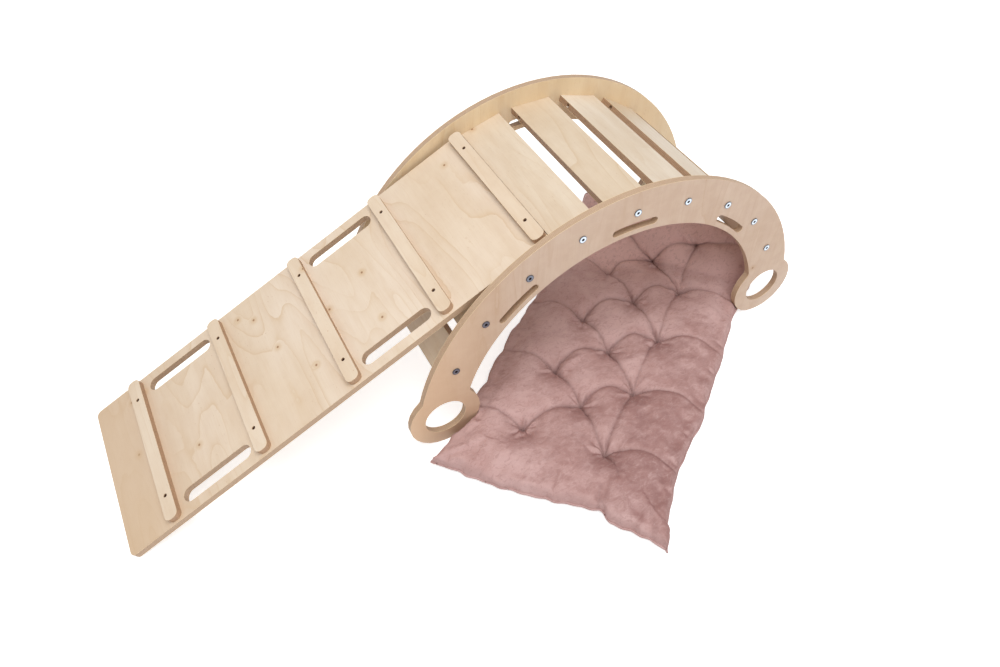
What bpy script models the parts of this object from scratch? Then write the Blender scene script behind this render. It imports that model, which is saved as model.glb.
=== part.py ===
"""Climbing arch rocker with a hook-on climbing ramp and a tufted floor cushion.

Metres, +Z up.  The arch runs along X, its two side panels stand across Y, and the
ramp climbs towards +X.  The origin is the middle of the whole set's footprint.
"""
import math

import bmesh
import bpy
from mathutils import Matrix, Vector

# Plywood and running gaps
PLY = 0.015
SEAT_GAP = 0.0003

# Side panels: a half ring that ends in two round knobs, which are the feet
OVERALL_WIDTH = 0.450
OUTER_RADIUS = 0.504
RIM_WIDTH = 0.107
KNOB_RADIUS = 0.083
KNOB_HOLE_RADIUS = 0.048
KNOB_INSET = 0.06152
KNOB_ANGLE = math.radians(6.762)
FOOT_FLAT = 0.012
OUTER_FILLET = 0.007
INNER_FILLET = 0.014
GRIP_SLOT_MARGIN = 0.0117
GRIP_SLOT_WIDTH = 0.018
GRIP_SLOT_LENGTH = 0.109
GRIP_SLOT_STEP = math.radians(39.7)
GRIP_SLOT_COUNT = 3

# Slats between the panels
SLAT_COUNT = 9
SLAT_WIDTH = 0.0975
SLAT_GAP = 0.03336
SLAT_INSET = 0.052

# Furniture bolts with cross nuts: one at each end of each slat
BOLT_HEAD_RADIUS = 0.0085
BOLT_HEAD_THICKNESS = 0.0018
BOLT_SHANK_RADIUS = 0.003
BOLT_HOLE_GAP = 0.0006
SOCKET_RADIUS = 0.0023
SOCKET_DEPTH = 0.0035
CROSS_NUT_RADIUS = 0.0048
CROSS_NUT_LENGTH = 0.012
CROSS_NUT_DEPTH = 0.036
CROSS_HOLE_GAP = 0.0005

# Ramp board, hooked over the third slat and resting on its lower end. Its length goes with
# the arch, or it would lie too steep to clear the slat that it is hooked on.
RAMP_OVERREACH = 0.033
RAMP_WIDTH = 0.3985
RAMP_CORNER = 0.012
HOOK_END_GAP = 0.00336
HOOK_SLAT = 3
HAND_SLOT_LENGTH = 0.170
HAND_SLOT_WIDTH = 0.033
HAND_SLOT_OFFSET = 0.1595

# Rungs on the board and the batten under its upper end
RUNG_COUNT = 5
RUNG_WIDTH = 0.030
RUNG_LENGTH = 0.388
RUNG_CORNER = 0.012
FIRST_RUNG = 0.1174
BATTEN_PLAY = 0.0095
BATTEN_FAR_PLAY = 0.0059
BATTEN_LENGTH = 0.380
SCREW_OFFSET = 0.1358
BATTEN_SCREW_OFFSET = 0.100
SCREW_HEAD_RADIUS = 0.0036
SCREW_HEAD_THICKNESS = 0.0025
SCREW_SHANK_RADIUS = 0.002
SCREW_SINK = 0.0055
SCREW_BITE = 0.0095
SCREW_GAP = 0.0005

# Cushion, lying askew on the floor through the arch with its rear end curled up.
# Its plan is cut to the tunnel's mouth: places and widths are shares of the mouth's width,
# from the middle of the near mouth, then along the cushion or across the front.
CUSHION_PLACE = (-0.2348, -0.3230)
CUSHION_TURN = math.radians(36.75)
CUSHION_LEFT = ((-0.2413, 0.4714), (-0.1964, 0.4602), (-0.1403, 0.4461), (-0.0982, 0.4265),
                (-0.0491, 0.4153), (-0.0210, 0.4167), (0.0842, 0.4363), (0.1964, 0.4574),
                (0.3367, 0.4686), (0.5612, 0.4672), (0.8698, 0.4602), (1.1504, 0.4489))
CUSHION_RIGHT = ((-0.2287, -0.2806), (-0.1403, -0.2441), (-0.0561, -0.2245), (0.0842, -0.2118),
                 (0.2104, -0.2160), (0.4209, -0.2189), (0.5892, -0.2118), (0.7015, -0.2020),
                 (0.7716, -0.1950), (0.8137, -0.1810), (0.9119, -0.1529), (0.9820, -0.1354),
                 (1.1504, -0.1277))
CUSHION_FRONT = ((0.00, -0.2104), (0.10, -0.1908), (0.18, -0.1866), (0.25, -0.1824), (0.29, -0.1655),
                 (0.38, -0.1754), (0.52, -0.1978), (0.70, -0.2160), (0.85, -0.2217), (1.00, -0.2245))
CUSHION_REAR = ((0.00, 1.0452), (0.45, 1.1223), (0.62, 1.1700), (0.85, 1.1700), (1.00, 1.1223))
TUFT_PITCH = 0.2553
TUFT_COLUMNS = ((0.0, 0.0, 5), (0.1351, 0.1393, 4), (0.2633, -0.0212, 5))
CUSHION_CROWN = 0.080
CUSHION_SEAM_HEIGHT = 0.024
CUSHION_SIDE_ROUND = 0.085
CUSHION_CELLS = (28, 15)
TUFT_DEPTH = 0.034
TUFT_SPREAD = 0.034
CURL_HEADING = math.radians(36.7)
CURL_START = 0.4025
CURL_RADIUS = 0.109
CURL_ANGLE = math.radians(60.0)

# Facets
ARC_STEP = math.radians(3.5)
SMALL_SIDES = 10
HEAD_SIDES = 20
ROW_CROWDING = 0.25
COLUMN_CROWDING = 0.4
TINY = 0.0005

# Places that follow from the sizes above
PANEL_INNER_Y = OVERALL_WIDTH / 2 - PLY
PANEL_MIDDLE_Y = OVERALL_WIDTH / 2 - PLY / 2
INNER_RADIUS = OUTER_RADIUS - RIM_WIDTH
KNOB_SPREAD = (OUTER_RADIUS - KNOB_INSET) * math.cos(KNOB_ANGLE)
KNOB_RISE = (OUTER_RADIUS - KNOB_INSET) * math.sin(KNOB_ANGLE)
FOOT_DEPTH = math.sqrt(KNOB_RADIUS**2 - (FOOT_FLAT / 2) ** 2)
ARC_HEIGHT = FOOT_DEPTH - KNOB_RISE
MOUTH_WIDTH = 2 * (KNOB_SPREAD - KNOB_RADIUS)
GRIP_SLOT_RADIUS = INNER_RADIUS + GRIP_SLOT_MARGIN + GRIP_SLOT_WIDTH / 2
SLAT_RADIUS = OUTER_RADIUS - SLAT_INSET
SLAT_OUTER_RADIUS = SLAT_RADIUS + PLY / 2
SLAT_CORNER_RADIUS = math.hypot(SLAT_OUTER_RADIUS, SLAT_WIDTH / 2)
SLAT_STEP = 2 * (math.asin(SLAT_GAP / (2 * SLAT_CORNER_RADIUS))
                 + math.atan(SLAT_WIDTH / (2 * SLAT_OUTER_RADIUS)))
SLAT_LENGTH = 2 * (PANEL_INNER_Y - SEAT_GAP)
BOLT_HOLE_RADIUS = BOLT_SHANK_RADIUS + BOLT_HOLE_GAP
CROSS_HOLE_RADIUS = CROSS_NUT_RADIUS + CROSS_HOLE_GAP
RAMP_LENGTH = 2 * OUTER_RADIUS + RAMP_OVERREACH
HOOK_SETBACK = SLAT_GAP - HOOK_END_GAP
BATTEN_WIDTH = SLAT_GAP - BATTEN_PLAY - BATTEN_FAR_PLAY


def clear_scene():
    for thing in list(bpy.data.objects):
        bpy.data.objects.remove(thing)


def make_collection(name):
    collection = bpy.data.collections.new(name)
    bpy.context.scene.collection.children.link(collection)
    return collection


def make_material(name, colour, roughness, metallic=0.0):
    material = bpy.data.materials.new(name)
    material.use_nodes = True
    shader = material.node_tree.nodes["Principled BSDF"]
    shader.inputs["Base Color"].default_value = (*colour, 1.0)
    shader.inputs["Roughness"].default_value = roughness
    shader.inputs["Metallic"].default_value = metallic
    return material


def add_object(name, mesh, collection, material, matrix=None, parent=None):
    """One named object for one piece; a repeated piece shares its mesh."""
    thing = bpy.data.objects.new(name, mesh)
    if not mesh.materials:
        mesh.materials.append(material)
    collection.objects.link(thing)
    if parent:
        thing.parent = parent
    thing.matrix_local = matrix or Matrix.Identity(4)
    return thing


def add_empty(name, collection, matrix, parent=None):
    empty = bpy.data.objects.new(name, None)
    empty.empty_display_size = 0.05
    collection.objects.link(empty)
    empty.parent = parent
    empty.matrix_local = matrix
    return empty


def mesh_from_bmesh(name, bm):
    mesh = bpy.data.meshes.new(name)
    bmesh.ops.recalc_face_normals(bm, faces=bm.faces)
    bm.to_mesh(mesh)
    bm.free()
    return mesh


def arc(centre, radius, start, end):
    """Points along an arc in the plane, both ends included."""
    steps = max(2, round(abs(end - start) / (ARC_STEP if radius > 0.1 else 4 * ARC_STEP)))
    angles = [start + (end - start) * i / steps for i in range(steps + 1)]
    return [(centre[0] + radius * math.cos(t), centre[1] + radius * math.sin(t)) for t in angles]


def circle(centre, radius, sides):
    turns = [2 * math.pi * i / sides for i in range(sides)]
    return [(centre[0] + radius * math.cos(t), centre[1] + radius * math.sin(t)) for t in turns]


def rounded_rectangle(centre, length, width, corner):
    """A rectangle with round corners, length along X and width along Y."""
    points = []
    for quarter, (sx, sy) in enumerate(((1, 1), (-1, 1), (-1, -1), (1, -1))):
        middle = (centre[0] + sx * (length / 2 - corner), centre[1] + sy * (width / 2 - corner))
        start = quarter * math.pi / 2
        points += arc(middle, corner, start, start + math.pi / 2)
    return points


def plate_mesh(name, outlines, thickness):
    """A flat plate from closed outlines, the first being its rim and the rest its holes."""
    curve = bpy.data.curves.new(name, "CURVE")
    curve.dimensions = "2D"
    curve.fill_mode = "BOTH"
    curve.extrude = thickness / 2
    for outline in outlines:
        spline = curve.splines.new("POLY")
        spline.points.add(len(outline) - 1)
        for point, (x, y) in zip(spline.points, outline):
            point.co = (x, y, 0.0, 1.0)
        spline.use_cyclic_u = True
    guide = bpy.data.objects.new(name, curve)
    bpy.context.scene.collection.objects.link(guide)
    bpy.context.view_layer.update()
    graph = bpy.context.evaluated_depsgraph_get()
    mesh = bpy.data.meshes.new_from_object(guide.evaluated_get(graph))
    bpy.data.objects.remove(guide)
    bm = bmesh.new()
    bm.from_mesh(mesh)
    bmesh.ops.remove_doubles(bm, verts=bm.verts, dist=0.00001)
    bmesh.ops.recalc_face_normals(bm, faces=bm.faces)
    bm.to_mesh(mesh)
    bm.free()
    mesh.name = name
    return mesh


def cylinder_mesh(name, radius, low, high, sides, matrix=None, top_radius=None):
    """A cylinder or cone along Z from low to high, then placed by a matrix."""
    bm = bmesh.new()
    placed = (matrix or Matrix.Identity(4)) @ Matrix.Translation((0, 0, (low + high) / 2))
    upper = radius if top_radius is None else top_radius
    bmesh.ops.create_cone(bm, cap_ends=True, segments=sides, radius1=radius, radius2=upper,
                          depth=high - low, matrix=placed)
    return mesh_from_bmesh(name, bm)


def combine(name, base_mesh, tools, operation):
    """Joins or cuts a mesh with tool meshes, one exact Boolean after another."""
    guides = make_collection(name + "_tools")
    base = bpy.data.objects.new(name, base_mesh)
    guides.objects.link(base)
    for index, tool in enumerate(tools):
        thing = bpy.data.objects.new(f"{name}_tool_{index}", tool)
        thing.hide_render = True
        thing.display_type = "WIRE"
        guides.objects.link(thing)
        boolean = base.modifiers.new(f"boolean_{index}", "BOOLEAN")
        boolean.operation = operation
        boolean.solver = "EXACT"
        boolean.object = thing
    bpy.context.view_layer.update()
    graph = bpy.context.evaluated_depsgraph_get()
    mesh = bpy.data.meshes.new_from_object(base.evaluated_get(graph))
    mesh.name = name
    for thing in list(guides.objects):
        bpy.data.objects.remove(thing)
    bpy.data.collections.remove(guides)
    return mesh


def circle_meet(radius_a, centre_b, radius_b, upper):
    """Where a circle about the origin meets another circle, on its chosen side."""
    distance = math.hypot(*centre_b)
    along = (radius_a**2 - radius_b**2 + distance**2) / (2 * distance)
    across = math.sqrt(radius_a**2 - along**2) * (1 if upper else -1)
    ux, uy = centre_b[0] / distance, centre_b[1] / distance
    return (along * ux - across * uy, along * uy + across * ux)


def panel_half_outline():
    """The right half of a panel's rim, clockwise from the crown to the inner crown."""
    knob = (KNOB_SPREAD, KNOB_RISE)
    outer = circle_meet(OUTER_RADIUS + OUTER_FILLET, knob, KNOB_RADIUS + OUTER_FILLET, True)
    inner = circle_meet(INNER_RADIUS - INNER_FILLET, knob, KNOB_RADIUS + INNER_FILLET, True)
    outer_angle = math.atan2(outer[1], outer[0])
    inner_angle = math.atan2(inner[1], inner[0])
    knob_start = math.atan2(outer[1] - knob[1], outer[0] - knob[0])
    knob_end = math.atan2(inner[1] - knob[1], inner[0] - knob[0]) - 2 * math.pi
    rim = arc((0, 0), OUTER_RADIUS, math.pi / 2, outer_angle)
    rim += arc(outer, OUTER_FILLET, outer_angle + math.pi, knob_start + math.pi)[1:-1]
    flat_half = math.asin(FOOT_FLAT / (2 * KNOB_RADIUS))
    rim += arc(knob, KNOB_RADIUS, knob_start, flat_half - math.pi / 2)
    rim += arc(knob, KNOB_RADIUS, -flat_half - math.pi / 2, knob_end)
    rim += arc(inner, INNER_FILLET, knob_end + math.pi, inner_angle)[1:-1]
    rim += arc((0, 0), INNER_RADIUS, inner_angle, math.pi / 2)
    return rim


def grip_slot(middle_angle):
    """A slot with round ends that follows the arch."""
    half = (GRIP_SLOT_LENGTH - GRIP_SLOT_WIDTH) / (2 * GRIP_SLOT_RADIUS)
    low, high = middle_angle - half, middle_angle + half
    end_radius = GRIP_SLOT_WIDTH / 2
    points = arc((0, 0), GRIP_SLOT_RADIUS + end_radius, low, high)
    for angle, turn in ((high, 0.0), (low, math.pi)):
        centre = (GRIP_SLOT_RADIUS * math.cos(angle), GRIP_SLOT_RADIUS * math.sin(angle))
        points += arc(centre, end_radius, angle + turn, angle + turn + math.pi)[1:-1]
        if turn == 0.0:
            points += arc((0, 0), GRIP_SLOT_RADIUS - end_radius, high, low)
    return points


def slat_angle(index):
    """Angle of a slat up from +X; slat 1 is the one nearest the ramp's foot."""
    return math.pi / 2 + ((SLAT_COUNT + 1) / 2 - index) * SLAT_STEP


def panel_mesh():
    half = panel_half_outline()
    rim = half[:-1] + [(-x, y) for x, y in reversed(half)][:-1]
    outlines = [rim]
    for side in (-1, 1):
        outlines.append(circle((side * KNOB_SPREAD, KNOB_RISE), KNOB_HOLE_RADIUS, 28))
    middle = (GRIP_SLOT_COUNT - 1) / 2
    for index in range(GRIP_SLOT_COUNT):
        outlines.append(grip_slot(math.pi / 2 + (index - middle) * GRIP_SLOT_STEP))
    for index in range(1, SLAT_COUNT + 1):
        angle = slat_angle(index)
        centre = (SLAT_RADIUS * math.cos(angle), SLAT_RADIUS * math.sin(angle))
        outlines.append(circle(centre, BOLT_HOLE_RADIUS, SMALL_SIDES))
    return plate_mesh("side_panel", outlines, PLY)


def slat_mesh():
    """A slat with a bolt hole in each end and cross-nut holes in from one long edge."""
    bm = bmesh.new()
    size = Matrix.Diagonal((SLAT_WIDTH, SLAT_LENGTH, PLY, 1.0))
    bmesh.ops.create_cube(bm, size=1.0, matrix=size)
    plank = mesh_from_bmesh("slat_plank", bm)
    cutters = []
    for side in (-1, 1):
        turn = Matrix.Rotation(-side * math.pi / 2, 4, "X")
        end = PANEL_INNER_Y + TINY
        inner = PANEL_INNER_Y - CROSS_NUT_DEPTH - 2 * CROSS_HOLE_RADIUS
        cutters.append(cylinder_mesh("bolt_hole", BOLT_HOLE_RADIUS, inner, end, SMALL_SIDES, turn))
        nut_y = side * (PANEL_INNER_Y - CROSS_NUT_DEPTH)
        across = Matrix.Translation((0, nut_y, 0)) @ Matrix.Rotation(math.pi / 2, 4, "Y")
        low, high = -SLAT_WIDTH / 2 - TINY, CROSS_NUT_LENGTH / 2 + CROSS_HOLE_GAP
        cutters.append(cylinder_mesh("nut_hole", CROSS_HOLE_RADIUS, low, high, SMALL_SIDES, across))
    return combine("slat", plank, cutters, "DIFFERENCE")


def bolt_mesh():
    """A flat-head bolt with a hexagon socket, its shank screwed into its cross nut."""
    nut_place = -(PLY + CROSS_NUT_DEPTH)
    head = cylinder_mesh("head", BOLT_HEAD_RADIUS, SEAT_GAP, SEAT_GAP + BOLT_HEAD_THICKNESS, HEAD_SIDES)
    shank = cylinder_mesh("shank", BOLT_SHANK_RADIUS, nut_place, SEAT_GAP + TINY, SMALL_SIDES)
    across = Matrix.Translation((0, 0, nut_place)) @ Matrix.Rotation(math.pi / 2, 4, "Y")
    half = CROSS_NUT_LENGTH / 2
    nut = cylinder_mesh("nut", CROSS_NUT_RADIUS, -half, half, SMALL_SIDES, across)
    joined = combine("bolt_body", head, [shank, nut], "UNION")
    top = SEAT_GAP + BOLT_HEAD_THICKNESS
    socket = cylinder_mesh("socket", SOCKET_RADIUS, top - SOCKET_DEPTH, top + TINY, 6)
    return combine("bolt", joined, [socket], "DIFFERENCE")


def screw_mesh():
    """A small screw along Z: its head's top at zero, its point down in the wood."""
    neck = -SCREW_HEAD_THICKNESS
    tip = -(PLY - SCREW_SINK + SEAT_GAP + SCREW_BITE)
    head = cylinder_mesh("screw_head", SCREW_HEAD_RADIUS, neck, 0.0, SMALL_SIDES)
    shank = cylinder_mesh("screw_shank", SCREW_SHANK_RADIUS, tip, neck + TINY, SMALL_SIDES)
    joined = combine("screw_body", head, [shank], "UNION")
    recess = cylinder_mesh("recess", SCREW_SHANK_RADIUS * 0.6, -0.0015, TINY, 6)
    return combine("screw", joined, [recess], "DIFFERENCE")


def batten_mesh(name, width, length, corner, screw_offset, flip):
    """A rung or batten with two sunk screw holes; flip puts the holes' mouths below."""
    outline = rounded_rectangle((0, 0), width, length, corner)
    through = SCREW_SHANK_RADIUS + SCREW_GAP
    holes = [circle((0, side * screw_offset), through, SMALL_SIDES) for side in (-1, 1)]
    plate = plate_mesh(name + "_plate", [outline] + holes, PLY)
    mouth = PLY / 2
    floor = mouth - SCREW_SINK
    cutters = []
    for side in (-1, 1):
        place = Matrix.Translation((0, side * screw_offset, 0))
        if flip:
            place = place @ Matrix.Rotation(math.pi, 4, "X")
        cutters.append(cylinder_mesh("sink", SCREW_HEAD_RADIUS + SCREW_GAP, floor, mouth + TINY,
                                     SMALL_SIDES, place))
    return combine(name, plate, cutters, "DIFFERENCE")


def rung_places():
    """Distances of the rungs from the hook line, along the board, lowest first."""
    last = RAMP_LENGTH - RUNG_WIDTH / 2 - TINY
    pitch = (last - FIRST_RUNG) / (RUNG_COUNT - 1)
    foot = RAMP_LENGTH - HOOK_SETBACK
    return [FIRST_RUNG + i * pitch - foot for i in range(RUNG_COUNT)]


def batten_place():
    return BATTEN_PLAY + BATTEN_WIDTH / 2


def board_mesh():
    """The ramp board, its lower end towards -X, with its hook line at X = 0."""
    middle = HOOK_SETBACK - RAMP_LENGTH / 2
    outline = rounded_rectangle((middle, 0), RAMP_LENGTH, RAMP_WIDTH, RAMP_CORNER)
    plate = plate_mesh("board_plate", [outline], PLY)
    cutters = []
    rungs = rung_places()
    for index in range(0, RUNG_COUNT - 1, 2):
        between = (rungs[index] + rungs[index + 1]) / 2
        for side in (-1, 1):
            slot = rounded_rectangle((between, side * HAND_SLOT_OFFSET), HAND_SLOT_LENGTH,
                                     HAND_SLOT_WIDTH, HAND_SLOT_WIDTH / 2)
            cutters.append(plate_mesh("hand_slot", [slot], PLY + 2 * TINY))
    radius = SCREW_SHANK_RADIUS + SCREW_GAP
    depth = SCREW_BITE + SCREW_GAP
    top = [(x, side * SCREW_OFFSET, PLY / 2 - depth, PLY / 2 + TINY) for x in rungs for side in (-1, 1)]
    under = [(batten_place(), side * BATTEN_SCREW_OFFSET, -PLY / 2 - TINY, -PLY / 2 + depth)
             for side in (-1, 1)]
    for x, y, low, high in top + under:
        place = Matrix.Translation((x, y, 0))
        cutters.append(cylinder_mesh("pilot", radius, low, high, SMALL_SIDES, place))
    return combine("ramp_board", plate, cutters, "DIFFERENCE")


def follow(points, value):
    """A smooth line through a few points."""
    if value <= points[0][0]:
        return points[0][1]
    for (x0, y0), (x1, y1) in zip(points, points[1:]):
        if value <= x1:
            t = (value - x0) / (x1 - x0)
            blend = 0.5 * t + 0.5 * t * t * (3 - 2 * t)
            return y0 + (y1 - y0) * blend
    return points[-1][1]


def cushion_shape(u, v, upper):
    """A cushion point before it curls: u runs front to rear, v from right to left."""
    front = follow(CUSHION_FRONT, v) * MOUTH_WIDTH
    rear = follow(CUSHION_REAR, v) * MOUTH_WIDTH
    along = front + (rear - front) * u
    right = follow(CUSHION_RIGHT, along / MOUTH_WIDTH) * MOUTH_WIDTH
    left = follow(CUSHION_LEFT, along / MOUTH_WIDTH) * MOUTH_WIDTH
    across = right + (left - right) * v
    edge = min(along - front, rear - along, across - right, left - across)
    inward = min(max(edge, 0.0) / CUSHION_SIDE_ROUND, 1.0)
    swell = math.sqrt(max(0.0, 1 - (1 - inward) ** 2))
    if not upper:
        return along, across, CUSHION_SEAM_HEIGHT * (1 - swell)
    height = CUSHION_SEAM_HEIGHT + (CUSHION_CROWN - CUSHION_SEAM_HEIGHT) * swell
    for column_across, first, count in TUFT_COLUMNS:
        for index in range(count):
            reach_along = along - (first + index * TUFT_PITCH) * MOUTH_WIDTH
            reach = math.hypot(reach_along, across - column_across * MOUTH_WIDTH)
            height -= TUFT_DEPTH * math.exp(-(reach / TUFT_SPREAD) ** 2)
    return along, across, height


def mouth_middle():
    """The middle of the tunnel's near mouth, on the floor."""
    return Vector((0.0, -PANEL_MIDDLE_Y, 0.0))


def curl_up(point):
    """Bends the cushion up past its curl line, like a mat pushed against a wall."""
    heading = Vector((math.cos(CURL_HEADING), math.sin(CURL_HEADING), 0.0))
    past = (point - mouth_middle()).dot(heading) - CURL_START * MOUTH_WIDTH
    if past <= 0.0:
        return point
    angle = min(past / CURL_RADIUS, CURL_ANGLE)
    straight = past - angle * CURL_RADIUS
    inner = CURL_RADIUS - point.z
    forward = inner * math.sin(angle) + straight * math.cos(angle)
    height = CURL_RADIUS - inner * math.cos(angle) + straight * math.sin(angle)
    base = point - heading * past
    return Vector((base.x + heading.x * forward, base.y + heading.y * forward, height))


def spread_share(index, count, crowding):
    """A share from 0 to 1 whose steps crowd towards both ends."""
    share = index / count
    return (1 - crowding) * share + crowding * (0.5 - 0.5 * math.cos(share * math.pi))


def cushion_mesh():
    """A crowned mat: a net for its top and one for its base, met at their rim, the seam."""
    rows, columns = CUSHION_CELLS
    corner = mouth_middle() + Vector((*CUSHION_PLACE, 0.0)) * MOUTH_WIDTH
    place = Matrix.Translation(corner) @ Matrix.Rotation(CUSHION_TURN, 4, "Z")
    bm = bmesh.new()
    seam = {}
    for upper in (True, False):
        net = {}
        for i in range(rows + 1):
            for j in range(columns + 1):
                if (i, j) in seam:
                    net[i, j] = seam[i, j]
                    continue
                u = spread_share(i, rows, ROW_CROWDING)
                v = spread_share(j, columns, COLUMN_CROWDING)
                net[i, j] = bm.verts.new(curl_up(place @ Vector(cushion_shape(u, v, upper))))
                if i in (0, rows) or j in (0, columns):
                    seam[i, j] = net[i, j]
        for i in range(rows):
            for j in range(columns):
                bm.faces.new((net[i, j], net[i + 1, j], net[i + 1, j + 1], net[i, j + 1]))
    return mesh_from_bmesh("cushion", bm)


def build_arch(parts, base, wood, metal):
    """Two panels, the slats between them and the bolts that hold them."""
    arc_place = Matrix.Translation((0, 0, ARC_HEIGHT))
    panel = panel_mesh()
    upright = Matrix.Rotation(math.pi / 2, 4, "X")
    for name, side in (("near", -1), ("far", 1)):
        place = arc_place @ Matrix.Translation((0, side * PANEL_MIDDLE_Y, 0)) @ upright
        add_object(f"side_panel_{name}", panel, parts, wood, place, base)
    slat = slat_mesh()
    bolt = bolt_mesh()
    for index in range(1, SLAT_COUNT + 1):
        angle = slat_angle(index)
        radial = Vector((math.cos(angle), 0, math.sin(angle))) * SLAT_RADIUS
        turn = Matrix.Rotation(math.pi / 2 - angle, 4, "Y")
        place = arc_place @ Matrix.Translation(radial)
        add_object(f"slat_{index}", slat, parts, wood, place @ turn, base)
        for name, side in (("near", -1), ("far", 1)):
            outward = Matrix.Rotation(-side * math.pi / 2, 4, "X")
            seat = Matrix.Translation((0, side * OVERALL_WIDTH / 2, 0))
            add_object(f"bolt_{name}_{index}", bolt, parts, metal, place @ seat @ turn @ outward, base)


def hook_line():
    """The upper edge of the hooked slat, on the side that faces the next slat."""
    angle = slat_angle(HOOK_SLAT)
    reach = SLAT_RADIUS + PLY / 2
    x = reach * math.cos(angle) + math.sin(angle) * SLAT_WIDTH / 2
    z = reach * math.sin(angle) - math.cos(angle) * SLAT_WIDTH / 2
    return Vector((x, 0, ARC_HEIGHT + z))


def ramp_slope(hook_height):
    """The slope at which the board lies on the hook line with its lower end on the floor."""
    run = RAMP_LENGTH - HOOK_SETBACK
    return math.asin(hook_height / math.hypot(run, SEAT_GAP)) + math.atan(SEAT_GAP / run)


def build_ramp(parts, base, wood, metal):
    """Board, rungs, hook batten and their screws, all carried by the hook line."""
    hook = hook_line()
    slope = Matrix.Rotation(-ramp_slope(hook.z), 4, "Y")
    hinge = add_empty("ramp_hook_line", parts, Matrix.Translation(hook) @ slope, base)
    board_middle = SEAT_GAP + PLY / 2
    add_object("ramp_board", board_mesh(), parts, wood, Matrix.Translation((0, 0, board_middle)), hinge)
    rung = batten_mesh("ramp_rung", RUNG_WIDTH, RUNG_LENGTH, RUNG_CORNER, SCREW_OFFSET, False)
    screw = screw_mesh()
    rung_middle = board_middle + PLY + SEAT_GAP
    screw_top = rung_middle + PLY / 2 - SCREW_SINK + SCREW_HEAD_THICKNESS + SEAT_GAP
    for index, x in enumerate(rung_places(), 1):
        add_object(f"ramp_rung_{index}", rung, parts, wood, Matrix.Translation((x, 0, rung_middle)), hinge)
        for name, side in (("near", -1), ("far", 1)):
            place = Matrix.Translation((x, side * SCREW_OFFSET, screw_top))
            add_object(f"rung_screw_{name}_{index}", screw, parts, metal, place, hinge)
    batten = batten_mesh("hook_batten", BATTEN_WIDTH, BATTEN_LENGTH, BATTEN_WIDTH / 4,
                         BATTEN_SCREW_OFFSET, True)
    batten_middle = board_middle - PLY - SEAT_GAP
    place = Matrix.Translation((batten_place(), 0, batten_middle))
    add_object("hook_batten", batten, parts, wood, place, hinge)
    screw_top = batten_middle - (PLY / 2 - SCREW_SINK + SCREW_HEAD_THICKNESS + SEAT_GAP)
    for name, side in (("near", -1), ("far", 1)):
        place = Matrix.Translation((batten_place(), side * BATTEN_SCREW_OFFSET, screw_top))
        place = place @ Matrix.Rotation(math.pi, 4, "X")
        add_object(f"hook_screw_{name}", screw, parts, metal, place, hinge)


def footprint_middle(things):
    """The middle of the box round all the pieces, on the floor."""
    corners = [thing.matrix_world @ vert.co for thing in things for vert in thing.data.vertices]
    xs = [corner.x for corner in corners]
    ys = [corner.y for corner in corners]
    return Vector(((min(xs) + max(xs)) / 2, (min(ys) + max(ys)) / 2, 0.0))


def build():
    clear_scene()
    parts = make_collection("climbing_arch")
    birch = make_material("birch_plywood", (0.79, 0.63, 0.45), 0.5)
    zinc = make_material("zinc", (0.62, 0.66, 0.70), 0.35, 1.0)
    browned = make_material("browned_steel", (0.10, 0.07, 0.05), 0.45, 1.0)
    velvet = make_material("velvet", (0.40, 0.21, 0.20), 0.85)
    base = add_empty("arch_base", parts, Matrix.Identity(4))
    build_arch(parts, base, birch, zinc)
    build_ramp(parts, base, birch, browned)
    add_object("floor_cushion", cushion_mesh(), parts, velvet, None, base)
    bpy.context.view_layer.update()
    solids = [thing for thing in parts.objects if thing.type == "MESH"]
    for thing in solids:
        thing.data.shade_smooth()
        thing.data.set_sharp_from_angle(angle=math.radians(30))
    base.location = -footprint_middle(solids)
    bpy.context.view_layer.update()


build()
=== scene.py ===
"""Looks of the climbing arch, its hook-on ramp and its tufted cushion.

Metres, +Z up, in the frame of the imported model.  The arch runs along X.
"""
import math

import bpy
from mathutils import Matrix, Vector, noise
from mathutils.kdtree import KDTree


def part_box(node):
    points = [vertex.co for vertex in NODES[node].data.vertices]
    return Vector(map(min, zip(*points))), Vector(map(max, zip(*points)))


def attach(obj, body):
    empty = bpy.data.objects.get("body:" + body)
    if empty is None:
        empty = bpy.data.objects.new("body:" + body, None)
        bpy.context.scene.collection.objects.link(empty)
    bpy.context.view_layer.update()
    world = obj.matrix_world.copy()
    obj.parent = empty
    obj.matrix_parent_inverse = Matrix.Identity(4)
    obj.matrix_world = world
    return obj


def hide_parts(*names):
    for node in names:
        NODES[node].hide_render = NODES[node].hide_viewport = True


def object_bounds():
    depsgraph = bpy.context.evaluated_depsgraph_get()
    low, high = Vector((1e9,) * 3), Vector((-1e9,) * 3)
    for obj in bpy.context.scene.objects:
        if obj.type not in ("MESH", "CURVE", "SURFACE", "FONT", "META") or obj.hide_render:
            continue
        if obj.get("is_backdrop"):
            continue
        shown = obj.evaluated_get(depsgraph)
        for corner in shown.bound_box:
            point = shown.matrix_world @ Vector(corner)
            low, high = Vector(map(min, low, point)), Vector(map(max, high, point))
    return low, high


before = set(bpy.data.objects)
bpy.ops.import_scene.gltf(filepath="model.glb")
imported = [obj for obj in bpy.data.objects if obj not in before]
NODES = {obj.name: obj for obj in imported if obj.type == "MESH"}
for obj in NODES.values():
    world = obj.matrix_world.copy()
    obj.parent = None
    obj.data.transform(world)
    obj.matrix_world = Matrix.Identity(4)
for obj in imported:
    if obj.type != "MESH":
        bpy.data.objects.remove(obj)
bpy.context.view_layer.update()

# The camera, from the floor below the crown slat's middle
CAMERA_OFFSET = Vector((-0.8291, -1.1946, 1.5035))
CAMERA_HEADING = -0.4935
CAMERA_PITCH = 0.8361
CAMERA_ROLL = 0.0076
CAMERA_LENS = 29.016
CAMERA_SENSOR = 36.0

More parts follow.
